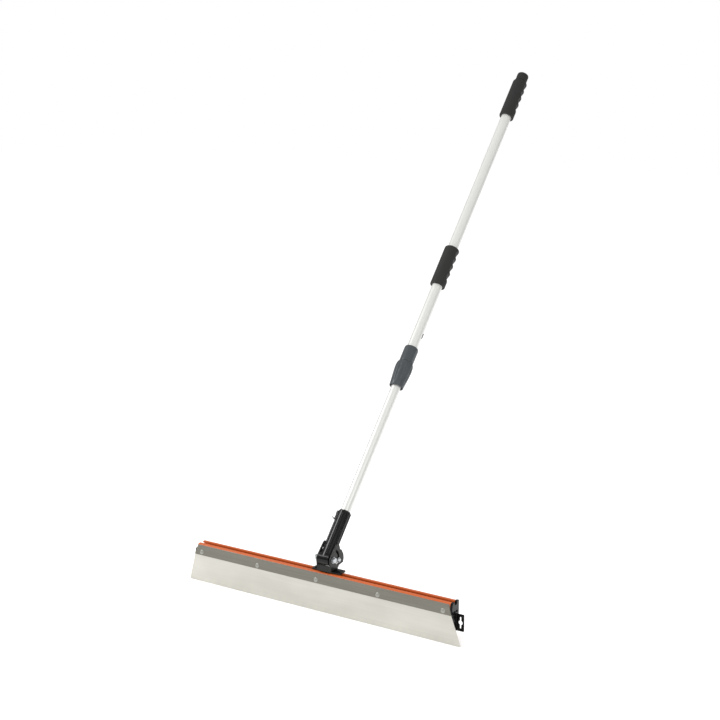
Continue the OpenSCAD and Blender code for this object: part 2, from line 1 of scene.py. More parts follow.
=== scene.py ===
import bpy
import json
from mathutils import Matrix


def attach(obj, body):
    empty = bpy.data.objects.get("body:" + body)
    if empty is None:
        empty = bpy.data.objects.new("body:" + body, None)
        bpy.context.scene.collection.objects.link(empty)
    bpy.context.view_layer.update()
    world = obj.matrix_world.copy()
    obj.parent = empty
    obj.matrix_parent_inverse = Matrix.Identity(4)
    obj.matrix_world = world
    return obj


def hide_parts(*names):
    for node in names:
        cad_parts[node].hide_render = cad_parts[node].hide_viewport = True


bl_info = {
    "name": "Roof snow rake",
    "version": (1, 0, 0),
    "blender": (4, 5, 0),
    "location": "3D View > Sidebar > Snow rake",
    "description": "Builds the finish, the moulded grips and the studio of a wide-blade rake",
    "category": "Object",
}

import json
import math

import bmesh
import bpy
from bpy.props import BoolProperty, FloatProperty, FloatVectorProperty, IntProperty, PointerProperty
from mathutils import Matrix, Vector

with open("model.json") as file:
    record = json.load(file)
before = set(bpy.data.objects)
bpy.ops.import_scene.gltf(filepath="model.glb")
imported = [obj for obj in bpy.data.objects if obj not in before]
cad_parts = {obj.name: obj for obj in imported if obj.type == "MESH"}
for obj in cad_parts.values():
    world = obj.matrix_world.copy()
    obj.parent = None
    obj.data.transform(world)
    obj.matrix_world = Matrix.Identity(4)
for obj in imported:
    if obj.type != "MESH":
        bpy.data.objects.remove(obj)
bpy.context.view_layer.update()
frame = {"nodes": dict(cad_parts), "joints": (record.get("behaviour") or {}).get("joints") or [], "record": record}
NODES = frame["nodes"]
JOINTS = {joint["name"]: joint for joint in frame["joints"]}
MM = 0.001

# The pole's own axes: origin at the tilt pivot, +Z up the pole, +X along the blade
PIVOT = Vector(JOINTS["pole_tilt"]["pos_m"])
POLE_AXIS = Vector(JOINTS["pole_telescope"]["axis"])
LEAN = math.atan2(POLE_AXIS.y, POLE_AXIS.z)
POLE = Matrix.Translation(PIVOT) @ Matrix.Rotation(-LEAN, 4, "X")
# The blade leans forward up to its bend, and the clamped part above it leans back: the clamped
# part's own axes, with the origin on the bend line
CLAMP_LEAN = math.radians(12)
BLADE_LEAN = math.radians(4.5)
BEND_UP = 0.075
KNEE = Vector((0, -BEND_UP * math.sin(BLADE_LEAN), BEND_UP * math.cos(BLADE_LEAN)))
CLAMP = Matrix.Translation(KNEE) @ Matrix.Rotation(-CLAMP_LEAN, 4, "X")

# Stations along the pole in millimetres from the pivot
LOWER_TUBE = (14.0, 999.0)
NUT_BOTTOM, NUT_TOP = 487.5, 560.5
SLEEVE_TOP = 606.5
TUBE_BOTTOM = 554.5
MID_GRIP = (801.5, 922.5)
TOP_GRIP = (1377.0, 1503.0)
END_TOP = 1530.5
# Radii in millimetres
TUBE_R, TUBE_BORE = 14.0, 12.8
LOWER_R, LOWER_BORE = 12.5, 11.3
GRIP_R = 20.5
GROOVE_TURN = math.radians(25)
# The clamp strip in millimetres: half its length at the foot and at the top, height, thickness
STRIP_HALF, STRIP_TOP_HALF, STRIP_HEIGHT, STRIP_THICK = 376.5, 368.51, 25.5, 2.0
RIVETS = 5

BODY_OF = {node: body for body, nodes in frame["record"]["behaviour"]["bodies"].items()
    for node in nodes}


# ---- sizes and colours that a user would change ----

class RakeColours(bpy.types.PropertyGroup):
    rail: FloatVectorProperty(name="Rail", description="Powder coat of the rail, sRGB",
        subtype="COLOR_GAMMA", size=3, min=0, max=1, default=(0.77, 0.37, 0.16))
    grip: FloatVectorProperty(name="Grips", description="Elastomer of the grips, sRGB",
        subtype="COLOR_GAMMA", size=3, min=0, max=1, default=(0.14, 0.14, 0.137))
    nut: FloatVectorProperty(name="Twist lock", description="Moulded plastic of the twist lock, sRGB",
        subtype="COLOR_GAMMA", size=3, min=0, max=1, default=(0.235, 0.25, 0.26))


class RakeSizes(bpy.types.PropertyGroup):
    groove_depth: FloatProperty(name="Groove depth", description="Depth of the finger grooves",
        default=0.005, min=0.001, max=0.0055, unit="LENGTH")
    groove_pitch: FloatProperty(name="Groove pitch", description="Distance from groove to groove",
        default=0.024, min=0.018, max=0.030, unit="LENGTH")
    nut_flutes: IntProperty(name="Flutes", description="Hollows round the twist nut",
        default=12, min=6, max=24)


class RakeStudio(bpy.types.PropertyGroup):
    key: FloatProperty(name="Key light", description="Power of the large soft light",
        default=46.0, min=0, max=400, unit="POWER")
    room: FloatProperty(name="Room light", description="Strength of the even light of the room",
        default=1.0, min=0, max=3)
    floor: BoolProperty(name="Floor", description="Lays the pale floor", default=True)


# ---- shared makers ----

def linear(colour):
    """sRGB, as a hex string or three numbers from 0 to 1, to linear."""
    if isinstance(colour, str):
        colour = [int(colour[i:i + 2], 16) / 255 for i in (0, 2, 4)]
    return tuple(c / 12.92 if c <= 0.04045 else ((c + 0.055) / 1.055) ** 2.4 for c in colour) + (1.0,)


def add_node(tree, kind, settings, links=()):
    """Adds a node, sets its properties and sockets, and links (socket, source socket) pairs into it."""
    node = tree.nodes.new(kind)
    for name, value in settings.items():
        if isinstance(name, str) and hasattr(node, name):
            setattr(node, name, value)
        else:
            node.inputs[name].default_value = value
    for socket, source in links:
        tree.links.new(source, node.inputs[socket])
    return node


def new_material(name, **surface):
    """A material with one Principled shader, whose named sockets are set."""
    material = bpy.data.materials.new(name)
    material.use_nodes = True
    tree = material.node_tree
    shader = next(n for n in tree.nodes if n.type == "BSDF_PRINCIPLED")
    for socket, value in surface.items():
        shader.inputs[socket.replace("_", " ")].default_value = value
    return material, tree, shader


def object_place(tree, stretch=(1, 1, 1), lean=0.0):
    """The place on the object in metres, turned so that an axis that leans back comes upright,
    then squeezed by stretch: small numbers make long patterns."""
    place = add_node(tree, "ShaderNodeTexCoord", {})
    mapping = add_node(tree, "ShaderNodeMapping", {"vector_type": "TEXTURE", "Rotation": (-lean, 0, 0),
        "Scale": tuple(1 / s for s in stretch)}, [("Vector", place.outputs["Object"])])
    return mapping.outputs["Vector"]


def noise(tree, place, scale, detail=2.0, roughness=0.5):
    """Soft noise from 0 to 1, with about scale patterns to the metre."""
    texture = add_node(tree, "ShaderNodeTexNoise",
        {"Scale": scale, "Detail": detail, "Roughness": roughness}, [("Vector", place)])
    return texture.outputs["Fac"]


def blend(tree, amount, low, high):
    """The colour between low and high, both linear, that an amount from 0 to 1 gives."""
    mix = add_node(tree, "ShaderNodeMix", {"data_type": "RGBA", 6: low, 7: high}, [(0, amount)])
    return mix.outputs[2]


def ramp(tree, amount, *stops):
    """The colour that an amount gives between two stops, each a position and a linear colour."""
    colour = add_node(tree, "ShaderNodeValToRGB", {}, [("Fac", amount)])
    for i, (position, tone) in enumerate(stops):
        colour.color_ramp.elements[i].position = position
        colour.color_ramp.elements[i].color = tone
    return colour.outputs["Color"]


def vary_roughness(tree, shader, amount, low, high):
    """Lets the roughness go from low to high with an amount from 0 to 1."""
    gloss = add_node(tree, "ShaderNodeMapRange", {"To Min": low, "To Max": high}, [("Value", amount)])
    tree.links.new(gloss.outputs["Result"], shader.inputs["Roughness"])


def add_relief(tree, shader, height, strength, depth):
    """Gives the surface a fine relief, depth metres high where the height is 1 and strength is 1."""
    relief = add_node(tree, "ShaderNodeBump", {"Strength": strength, "Distance": depth},
        [("Height", height)])
    tree.links.new(relief.outputs["Normal"], shader.inputs["Normal"])


def finish_mesh(name, mesh, angle=32.0):
    """Smooths the faces, keeps edges sharper than angle, and puts the mesh in the scene."""
    mesh.shade_smooth()
    mesh.set_sharp_from_angle(angle=math.radians(angle))
    piece = bpy.data.objects.new(name, mesh)
    bpy.context.scene.collection.objects.link(piece)
    return piece


def turned(name, profile, place, steps=96, radius=None, angle=32.0):
    """A closed shape turned about Z from (radius, height) points in millimetres.
    radius(turn, r, z) may change the radius of a point."""
    bm = bmesh.new()
    rings = []
    for r, z in profile:
        if r <= 0:
            rings.append([bm.verts.new(place @ Vector((0, 0, z * MM)))] * steps)
            continue
        ring = []
        for i in range(steps):
            turn = 2 * math.pi * i / steps
            rr = (radius(turn, r, z) if radius else r) * MM
            ring.append(bm.verts.new(place @ Vector((rr * math.cos(turn), rr * math.sin(turn), z * MM))))
        rings.append(ring)
    closed = profile[0][0] > 0 and profile[-1][0] > 0
    pairs = list(zip(rings, rings[1:])) + ([(rings[-1], rings[0])] if closed else [])
    for low, high in pairs:
        for i in range(steps):
            j = (i + 1) % steps
            corners = []
            for v in (low[i], low[j], high[j], high[i]):
                if v not in corners:
                    corners.append(v)
            if len(corners) > 2:
                bm.faces.new(corners)
    bmesh.ops.recalc_face_normals(bm, faces=bm.faces)
    mesh = bpy.data.meshes.new(name)
    bm.to_mesh(mesh)
    bm.free()
    return finish_mesh(name, mesh, angle)


def plate(name, loops, low, high, place, bevel=0.3, angle=32.0):
    """A flat plate from closed outlines in millimetres, the first one outside and the others holes.
    It reaches from low to high along the third axis, and its edges are broken by bevel."""
    curve = bpy.data.curves.new(name, "CURVE")
    curve.dimensions = "2D"
    curve.fill_mode = "BOTH"
    curve.extrude = ((high - low) / 2 - bevel) * MM
    curve.bevel_depth = bevel * MM
    curve.bevel_resolution = 2
    curve.offset = -bevel * MM
    for loop in loops:
        spline = curve.splines.new("POLY")
        spline.points.add(len(loop) - 1)
        for point, (x, y) in zip(spline.points, loop):
            point.co = (x * MM, y * MM, 0, 1)
        spline.use_cyclic_u = True
    draft = bpy.data.objects.new(name, curve)
    bpy.context.scene.collection.objects.link(draft)
    bpy.context.view_layer.update()
    mesh = bpy.data.meshes.new_from_object(draft.evaluated_get(bpy.context.evaluated_depsgraph_get()))
    bpy.data.objects.remove(draft)
    bpy.data.curves.remove(curve)
    mesh.transform(place @ Matrix.Translation((0, 0, (low + high) / 2 * MM)))
    return finish_mesh(name, mesh, angle)


def rounded(points, steps=6):
    """A closed outline whose corners (x, y, radius) are rounded."""
    out = []
    n = len(points)
    for i in range(n):
        bx, by, r = points[i]
        b = Vector((bx, by))
        if r == 0:
            out.append((bx, by))
            continue
        u = (Vector(points[i - 1][:2]) - b).normalized()
        v = (Vector(points[(i + 1) % n][:2]) - b).normalized()
        half = math.acos(max(-1.0, min(1.0, u.dot(v)))) / 2
        centre = b + (u + v).normalized() * (r / math.sin(half))
        start = b + u * (r / math.tan(half)) - centre
        end = b + v * (r / math.tan(half)) - centre
        side = 1 if start.x * end.y - start.y * end.x > 0 else -1
        sweep = side * (math.pi - 2 * half)
        for k in range(steps + 1):
            t = sweep * k / steps
            c, s = math.cos(t), math.sin(t)
            out.append((centre.x + start.x * c - start.y * s, centre.y + start.x * s + start.y * c))
    return out


def soft_min(a, b, k):
    """The smaller of two radii, with the corner between them rounded over about k."""
    h = max(0.0, min(1.0, 0.5 + 0.5 * (b - a) / k))
    return b * (1 - h) + a * h - k * h * (1 - h)


def dress(piece, material, *nodes):
    """Gives a piece its material and the body of the first CAD node, and hides those nodes."""
    piece.data.materials.clear()
    piece.data.materials.append(material)
    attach(piece, BODY_OF[nodes[0]])
    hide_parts(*nodes)
    return piece


def moulded_copy(node, cell, rounds, keep):
    """The CAD node's shape with its edges rounded as moulding, rolling or plating leaves them:
    rebuilt in cells (mm), smoothed, and thinned to the share of faces to keep."""
    piece = bpy.data.objects.new("finished_" + node, NODES[node].data.copy())
    bpy.context.scene.collection.objects.link(piece)
    rebuild = piece.modifiers.new("rebuild", "REMESH")
    rebuild.mode = "VOXEL"
    rebuild.voxel_size = cell * MM
    smooth = piece.modifiers.new("smooth", "SMOOTH")
    smooth.factor = 0.5
    smooth.iterations = rounds
    thin = piece.modifiers.new("thin", "DECIMATE")
    thin.ratio = keep
    bpy.context.view_layer.update()
    graph = bpy.context.evaluated_depsgraph_get()
    mesh = bpy.data.meshes.new_from_object(piece.evaluated_get(graph))
    bpy.data.objects.remove(piece)
    return finish_mesh("finished_" + node, mesh, angle=50.0)


def finish_copies(*rows):
    """Puts rounded copies in place of CAD nodes, from rows of node, cell, rounds, share of faces to
    keep, and material."""
    for node, cell, rounds, keep, material in rows:
        dress(moulded_copy(node, cell, rounds, keep), MATERIALS[material], node)


def paint(material, *names):
    """Puts a material on CAD nodes that keep their own shape."""
    for name in names:
        mesh = NODES[name].data
        for i in range(max(1, len(mesh.materials))):
            if i < len(mesh.materials):
                mesh.materials[i] = material
            else:
                mesh.materials.append(material)


# ---- materials ----

def stainless_cold_rolled():
    """Stainless spring sheet, cold rolled and lightly belt ground: pale warm grey, with a soft
    sheen and faint streaks that run with the rolling, along the blade."""
    material, tree, shader = new_material("stainless sheet, cold rolled", Metallic=0.55, Roughness=0.36)
    # streaks about 0.25 m long and 3 mm wide
    streaks = noise(tree, object_place(tree, (1, 80, 80)), 4.0, 6.0, 0.6)
    # broad clouds left by the rolls, about 0.14 m long and 0.07 m wide
    clouds = noise(tree, object_place(tree, (1, 2, 2)), 7.0)
    both = add_node(tree, "ShaderNodeMath", {"operation": "MULTIPLY_ADD", 1: 0.5},
        [(0, streaks), (2, clouds)])
    colour = ramp(tree, both.outputs[0], (0.45, linear("b6b4ac")), (1.0, linear("c7c5bd")))
    tree.links.new(colour, shader.inputs["Base Color"])
    vary_roughness(tree, shader, streaks, 0.30, 0.44)
    # grinding marks 0.5 mm apart and 50 mm long
    marks = noise(tree, object_place(tree, (1, 100, 100)), 20.0, 3.0)
    add_relief(tree, shader, marks, 0.12, 0.0001)
    return material


def aluminium_mill_strip():
    """Aluminium flat bar with its mill finish: darker olive grey, dull, with draw lines along it,
    about 1 mm apart."""
    material, tree, shader = new_material("aluminium flat bar, mill finish", Metallic=0.6, Roughness=0.42)
    lines = noise(tree, object_place(tree, (1, 150, 150)), 6.0, 5.0, 0.65)
    colour = ramp(tree, lines, (0.3, linear("74726a")), (0.75, linear("8a887d")))
    tree.links.new(colour, shader.inputs["Base Color"])
    add_relief(tree, shader, lines, 0.2, 0.0001)
    return material


def orange_powder_coat(colour_rgb):
    """Aluminium extrusion with an orange powder coat: even and half matt, with a fine orange peel
    of about 1.5 mm, a little deeper in colour in its hollows."""
    material, tree, shader = new_material("aluminium extrusion, orange powder coat",
        Roughness=0.42, IOR=1.5, Specular_IOR_Level=0.35)
    peel = noise(tree, object_place(tree), 650.0)
    base = linear(colour_rgb)
    hollow = (base[0] * 0.88, base[1] * 0.84, base[2] * 0.82, 1)
    colour = ramp(tree, peel, (0.0, hollow), (1.0, base))
    tree.links.new(colour, shader.inputs["Base Color"])
    add_relief(tree, shader, peel, 0.18, 0.0002)
    return material


def black_powder_coat():
    """Bent steel with a black powder coat: satin, with a fine grain of about 0.8 mm, and its sharp
    edges painted slightly paler as a painted highlight."""
    material, tree, shader = new_material("bent steel, black powder coat",
        Roughness=0.32, IOR=1.5, Specular_IOR_Level=0.3)
    # painted highlight: the sharp convex edges, found by pointiness, are painted paler in place of the highlights
    # that light leaves on them
    edges = add_node(tree, "ShaderNodeNewGeometry", {})
    painted_edge_highlight = add_node(tree, "ShaderNodeMapRange", {"From Min": 0.50, "From Max": 0.60},
        [("Value", edges.outputs["Pointiness"])])
    colour = blend(tree, painted_edge_highlight.outputs["Result"], linear("0f100e"), linear("3c3d39"))
    tree.links.new(colour, shader.inputs["Base Color"])
    add_relief(tree, shader, noise(tree, object_place(tree), 1200.0), 0.25, 0.0002)
    return material


def moulded(name, dark, light, roughness, grain_mm, strength):
    """Moulded plastic: one colour with slight clouding, and an eroded grain of the given size."""
    material, tree, shader = new_material(name, Roughness=roughness, IOR=1.5, Specular_IOR_Level=0.25)
    # clouds about 17 mm across
    clouds = noise(tree, object_place(tree), 60.0, 3.0)
    tree.links.new(blend(tree, clouds, linear(dark), linear(light)), shader.inputs["Base Color"])
    add_relief(tree, shader, noise(tree, object_place(tree), 1000.0 / grain_mm), strength, 0.0002)
    return material


def metal(name, dark, light, roughness, grain_mm,
        stretch=(1, 1, 1), lean=0.0, metallic=1.0, strength=0.1):
    """Bare or plated metal whose lines or crystals have the given size."""
    material, tree, shader = new_material(name, Metallic=metallic, Roughness=roughness)
    grain = noise(tree, object_place(tree, stretch, lean), 1000.0 / grain_mm, 4.0)
    tree.links.new(blend(tree, grain, linear(dark), linear(light)), shader.inputs["Base Color"])
    vary_roughness(tree, shader, grain, roughness - 0.05, roughness + 0.07)
    add_relief(tree, shader, grain, strength, 0.0001)
    return material


MATERIALS = {}


class RAKE_OT_materials(bpy.types.Operator):
    """Makes the materials of the rake and puts them on the parts that keep their CAD shape"""
    bl_idname = "rake.materials"
    bl_label = "Materials"

    def execute(self, context):
        colours = context.scene.rake_colours
        m = MATERIALS
        m["blade"] = stainless_cold_rolled()
        m["strip"] = aluminium_mill_strip()
        m["rail"] = orange_powder_coat(colours.rail)
        m["coat"] = black_powder_coat()
        # glass-filled nylon, moulded: near black, half gloss, with a fine eroded grain
        m["nylon"] = moulded("glass-filled nylon, moulded black", "060707", "0b0c0c", 0.22, 0.9, 0.06)
        # ABS, moulded charcoal grey: satin
        nut = tuple(colours.nut)
        m["abs"] = moulded("ABS, moulded charcoal", nut, [c * 1.2 for c in nut], 0.3, 0.8, 0.1)
        # thermoplastic elastomer, moulded with a matt grain: soft black, no sharp highlight
        grip = tuple(colours.grip)
        m["grip"] = moulded("elastomer, moulded matt black", grip, [c * 1.2 for c in grip],
            0.62, 1.3, 0.4)
        # acetal, moulded in its natural colour: milky off-white
        m["acetal"] = moulded("acetal, moulded natural", "d9d8cf", "e6e5dd", 0.35, 1.0, 0.08)
        # steel with bright zinc plate: cool grey with small crystals
        m["zinc"] = metal("steel, bright zinc plate", "a9adb0", "cdd0d2", 0.28, 1.2)
        # steel, blackened with oxide and oiled
        m["oxide"] = metal("steel, black oxide", "1c1d1f", "303133", 0.4, 0.8)
        # spring steel wire, drawn: bright grey
        m["wire"] = metal("spring steel wire, drawn", "8b8c8e", "b2b3b5", 0.25, 0.5)
        # aluminium rivets, cold headed and tumbled: mid grey, satin
        m["rivet"] = metal("aluminium rivet, cold headed", "8f8f88", "a3a39c", 0.38, 0.8, metallic=0.6)
        # aluminium tube, drawn and clear anodised: nearly white, with lines along the tube that are
        # 0.8 mm apart and 80 mm long
        m["tube"] = metal("aluminium tube, clear anodised", "d8d8d5", "e2e2df", 0.34, 0.8,
            stretch=(1, 1, 0.01), lean=LEAN, metallic=0.45, strength=0.03)
        paint(m["blade"], "blade")
        paint(m["strip"], "clamp_strip")
        paint(m["rivet"], "blade_rivets")
        paint(m["rail"], "rail")
        paint(m["coat"], "slide_plate", "bracket_fork")
        paint(m["nylon"], "end_cap_left", "end_cap_right", "pole_socket", "socket_latch", "tube_plug",
            "hole_plug")
        paint(m["abs"], "twist_nut", "collar_sleeve")
        paint(m["grip"], "mid_grip", "top_grip", "end_plug", "wiper_ring")
        paint(m["acetal"], "guide_bush", "collet")
        paint(m["zinc"], "slide_t_nut", "pivot_bolt", "pivot_nut", "pivot_washers", "pivot_spacers",
            "lock_bolt", "lock_nut", "lock_washers")
        paint(m["oxide"], "end_cap_screws", "slide_screws")
        paint(m["wire"], "latch_pin", "latch_spring")
        paint(m["tube"], "inner_tube", "outer_tube")
        return {"FINISHED"}


def groove_radius(stations, depth):
    """The radius of a grip with finger grooves at the given heights, cut on one side only."""
    groove_r = 15.0
    least_wall = 1.5
    # the grip stays round where the cosine of the angle from the grooves' middle is below this
    side = 0.25

    def radius(turn, r, z):
        across = math.cos(turn - GROOVE_TURN)
        if r < TUBE_R + 1 or across < side:
            return r
        for centre in stations:
            off = z - centre
            if abs(off) < groove_r:
                cut = (GRIP_R + groove_r - depth - math.sqrt(groove_r ** 2 - off ** 2)) / across
                r = soft_min(r, cut, 1.4)
        return max(r, TUBE_R + least_wall)
    return radius


def grip_profile(low, high):
    """A sleeve round the upper tube, nearly square below and round above, with points about 0.8 mm
    apart."""
    inner = TUBE_R + 0.02
    foot_r, head_r = 1.2, 5
    length = high - low - 8
    steps = int(length / 0.8)
    points = [(inner, low), (GRIP_R - foot_r, low)]
    points += [(GRIP_R - foot_r + foot_r * math.sin(t), low + foot_r - foot_r * math.cos(t))
        for t in (0.5, 1.0, 1.57)]
    points += [(GRIP_R, low + 2 + length * i / steps) for i in range(steps + 1)]
    points += [(GRIP_R - head_r + head_r * math.cos(t), high - head_r + head_r * math.sin(t))
        for t in (0.2, 0.4, 0.6, 0.8, 1.0, 1.2, 1.4, 1.57)]
    points += [(inner, high)]
    return points


class RAKE_OT_grips(bpy.types.Operator):
    """Moulds the two grips and the end plug of the upper tube"""
    bl_idname = "rake.grips"
    bl_label = "Grips"

    def execute(self, context):
        sizes = context.scene.rake_sizes
        pitch, depth = sizes.groove_pitch / MM, sizes.groove_depth / MM
        grooves, first_groove = 4, 17
        for node, (low, high) in (("mid_grip", MID_GRIP), ("top_grip", TOP_GRIP)):
            stations = [high - first_groove - pitch * i for i in range(grooves)]
            piece = turned("moulded_" + node, grip_profile(low, high), POLE, steps=128,
                radius=groove_radius(stations, depth), angle=60)
            dress(piece, MATERIALS["grip"], node)
        # the spigot in the tube, a rim with a shallow ring groove, and a dimpled top
        low = TOP_GRIP[1]
        foot = low - 22
        rim_r, groove_r = 16.3, 15.8
        plug = turned("moulded_end_plug", [(0, foot), (TUBE_BORE, foot), (TUBE_BORE, low),
            (15.4, low), (15.4, low + 1.6), (rim_r, low + 2.4), (rim_r, low + 11),
            (groove_r, low + 11.6), (groove_r, low + 13), (rim_r, low + 13.6),
            (rim_r, END_TOP - 4.5), (15.7, END_TOP - 1.8), (13.6, END_TOP - 0.3), (11, END_TOP),
            (4, END_TOP), (3.2, END_TOP - 1), (0, END_TOP - 1)], POLE, angle=25)
        dress(plug, MATERIALS["grip"], "end_plug")
        return {"FINISHED"}


class RAKE_OT_tubes(bpy.types.Operator):
    """Draws the two tubes of the pole"""
    bl_idname = "rake.tubes"
    bl_label = "Tubes"

    def execute(self, context):
        # the ends are deburred, and rings about every 40 mm keep the faces short
        ring_pitch, burr, burr_length = 40, 0.3, 0.5
        for node, r, bore, low, high in (("inner_tube", LOWER_R, LOWER_BORE, *LOWER_TUBE),
                ("outer_tube", TUBE_R, TUBE_BORE, TUBE_BOTTOM, TOP_GRIP[1])):
            length = high - burr_length - low - burr_length
            rings = int(length / ring_pitch)
            walls = [length * i / rings + low + burr_length for i in range(rings + 1)]
            profile = [(bore, low), (r - burr, low)] + [(r, z) for z in walls]
            profile += [(r - burr, high), (bore, high)] + [(bore, z) for z in reversed(walls)]
            dress(turned("drawn_" + node, profile, POLE, angle=40), MATERIALS["tube"], node)
        return {"FINISHED"}


def divided(points, parts):
    """An outline of (radius, height) points whose stretches are cut into equal parts, as many as
    parts(rise) gives for a stretch that rises or falls by rise."""
    fine = []
    for (r0, z0), (r1, z1) in zip(points, points[1:]):
        count = parts(abs(z1 - z0))
        fine += [(r0 + (r1 - r0) * k / count, z0 + (z1 - z0) * k / count) for k in range(count)]
    return fine + [points[-1]]


def off_nearest(turn, count):
    """The angle from the nearest of count marks that stand evenly round a circle."""
    spread = math.pi / count
    return (turn + spread) % (2 * spread) - spread


def twist_nut(flutes):
    """The fluted nut: a lip below, a skirt that widens upwards, and a rounded shoulder."""
    low, high = NUT_BOTTOM, NUT_TOP
    outside = [(17.2, 0), (18.2, 0.2), (18.7, 0.8), (18.9, 2), (18.7, 3), (18.8, 4), (19.4, 9),
        (20.1, 16), (20.8, 23), (21.5, 30), (22.15, 37), (22.75, 44), (23.05, 50), (23.1, 55),
        (22.95, 60), (22.5, 64), (21.7, 67.5), (20.6, 70.3), (19.6, 72), (18.95, 73)]
    inside = [(17.5, high), (17.5, low + 20), (12.9, low + 17), (12.9, low + 6)]
    lip_r = 18.75
    # the hollows: their radius, and how far their middle lies outside the nut
    flute_r, flute_out = 4.2, 2.9

    def fluted(turn, r, z):
        if r < lip_r:
            return r
        off = off_nearest(turn, flutes)
        # the hollows fade out over 12 mm below and over 10 mm above
        fade = min(1.0, max(0.0, (z - low - 10) / 12)) * min(1.0, max(0.0, (high - 8 - z) / 10))
        centre = r + flute_out
        aside = centre * math.sin(off)
        if abs(aside) >= flute_r or fade <= 0:
            return r
        hollow = centre * math.cos(off) - math.sqrt(flute_r ** 2 - aside ** 2)
        return r + (soft_min(r, hollow, 0.8) - r) * fade
    fine = [(r, low + z) for r, z in divided(outside, lambda rise: 4)]
    return turned("moulded_twist_nut", fine + inside, POLE, steps=240, radius=fluted, angle=40)


def collar_sleeve():
    """The sleeve fixed on the upper tube, with six flat panels."""
    low, high, top = NUT_BOTTOM, NUT_TOP, SLEEVE_TOP
    profile = [(TUBE_BORE, low + 45), (16, low + 42), (17, low + 44), (17, high + 0.5),
        (17.5, high + 0.6), (18.2, high + 1.0), (18.5, high + 2), (18.55, high + 8),
        (18.65, high + 24), (18.7, top - 7), (18.6, top - 4.5), (18.1, top - 2.2), (17.2, top - 0.7),
        (16.2, top), (TUBE_R, top), (TUBE_R, TUBE_BOTTOM), (TUBE_BORE, TUBE_BOTTOM)]
    panels, panel_depth, rim_r = 6, 0.55, 18.3
    panel_low, panel_high = high + 5, top - 6

    def panelled(turn, r, z):
        if r < rim_r or z < panel_low or z > panel_high:
            return r
        return soft_min(r, (r - panel_depth) / math.cos(off_nearest(turn, panels)), 0.3)
    fine = divided(profile, lambda rise: max(1, int(rise / 3)))
    return turned("moulded_collar_sleeve", fine, POLE, steps=192, radius=panelled, angle=40)


class RAKE_OT_twist_lock(bpy.types.Operator):
    """Moulds the twist nut and the sleeve of the collar"""
    bl_idname = "rake.twist_lock"
    bl_label = "Twist lock"

    def execute(self, context):
        dress(twist_nut(context.scene.rake_sizes.nut_flutes), MATERIALS["abs"], "twist_nut")
        dress(collar_sleeve(), MATERIALS["abs"], "collar_sleeve")
        return {"FINISHED"}


def set_rivets(plane):
    """Dome-head rivets in one mesh, along the strip whose lower edge and back the plane gives."""
    # half a section, in millimetres from the strip's back: a soft dome over a flat rim, the shank,
    # and the tail that is set inside
    profile = [(0, 3.9), (1.2, 3.86), (2.4, 3.7), (3.5, 3.42), (4.5, 3.0), (5.2, 2.55), (5.65, 2.25),
        (5.8, 2.05), (5.75, 2.0), (2, 2.0), (2, -3.6), (3.4, -3.6), (3.4, -5.4), (2.6, -5.8), (0, -5.8)]
    end_gap, up = 22, 8
    pitch = (2 * STRIP_HALF - 2 * end_gap) / (RIVETS - 1)
    bm = bmesh.new()
    for i in range(RIVETS):
        place = plane @ Matrix.Translation(((i - (RIVETS - 1) / 2) * pitch * MM, up * MM, 0))
        rivet = turned("rivet", profile, place, steps=48, angle=35)
        bm.from_mesh(rivet.data)
        bpy.data.objects.remove(rivet)
    mesh = bpy.data.meshes.new("set_blade_rivets")
    bm.to_mesh(mesh)
    bm.free()
    return finish_mesh("set_blade_rivets", mesh, angle=35)


class RAKE_OT_head(bpy.types.Operator):
    """Finishes the clamp strip, the rivets and the end caps with their screws"""
    bl_idname = "rake.head"
    bl_label = "Head"

    def execute(self, context):
        # the strip's own plane: x along it, y up it, z out of its face
        plane = CLAMP @ Matrix.Rotation(math.radians(90), 4, "X")
        outline = rounded([(-STRIP_HALF, 0, 1), (STRIP_HALF, 0, 1), (STRIP_TOP_HALF, STRIP_HEIGHT, 1),
            (-STRIP_TOP_HALF, STRIP_HEIGHT, 1)], steps=4)
        strip = plate("rolled_clamp_strip", [outline], 0.0, STRIP_THICK, plane)
        dress(strip, MATERIALS["strip"], "clamp_strip")
        dress(set_rivets(plane), MATERIALS["rivet"], "blade_rivets")
        finish_copies(
            ("end_cap_left", 0.45, 3, 0.4, "nylon"),
            ("end_cap_right", 0.45, 3, 0.4, "nylon"),
            ("end_cap_screws", 0.25, 2, 0.5, "oxide"))
        return {"FINISHED"}


class RAKE_OT_bracket(bpy.types.Operator):
    """Rounds the edges of the bracket, its bolts and the slide plate"""
    bl_idname = "rake.bracket"
    bl_label = "Bracket"

    def execute(self, context):
        finish_copies(
            ("bracket_fork", 0.5, 2, 0.35, "coat"),
            ("slide_plate", 0.5, 2, 0.3, "coat"),
            ("pivot_bolt", 0.35, 2, 0.5, "zinc"),
            ("pivot_nut", 0.3, 2, 0.5, "zinc"),
            ("pivot_washers", 0.3, 2, 0.4, "zinc"),
            ("pivot_spacers", 0.3, 2, 0.4, "zinc"),
            ("slide_screws", 0.3, 2, 0.5, "oxide"),
            ("slide_t_nut", 0.5, 2, 0.3, "zinc"))
        return {"FINISHED"}


class RAKE_OT_socket(bpy.types.Operator):
    """Rounds the edges of the pole's socket, its latch, the tilt lock bolt and the hole plug"""
    bl_idname = "rake.socket"
    bl_label = "Socket"

    def execute(self, context):
        finish_copies(
            ("pole_socket", 0.35, 1, 0.5, "nylon"),
            ("socket_latch", 0.3, 3, 0.5, "nylon"),
            ("lock_bolt", 0.3, 2, 0.5, "zinc"),
            ("lock_nut", 0.3, 2, 0.5, "zinc"),
            ("lock_washers", 0.3, 2, 0.4, "zinc"),
            ("hole_plug", 0.2, 2, 0.5, "nylon"))
        return {"FINISHED"}


# ---- the studio ----

LENS_MM, SENSOR_MM = 69.24, 36.0
CAMERA_TURN, CAMERA_DROP = math.radians(32.43), math.radians(12.75)
CAMERA_PLACE = (1.7956, -2.6304, 1.3520)


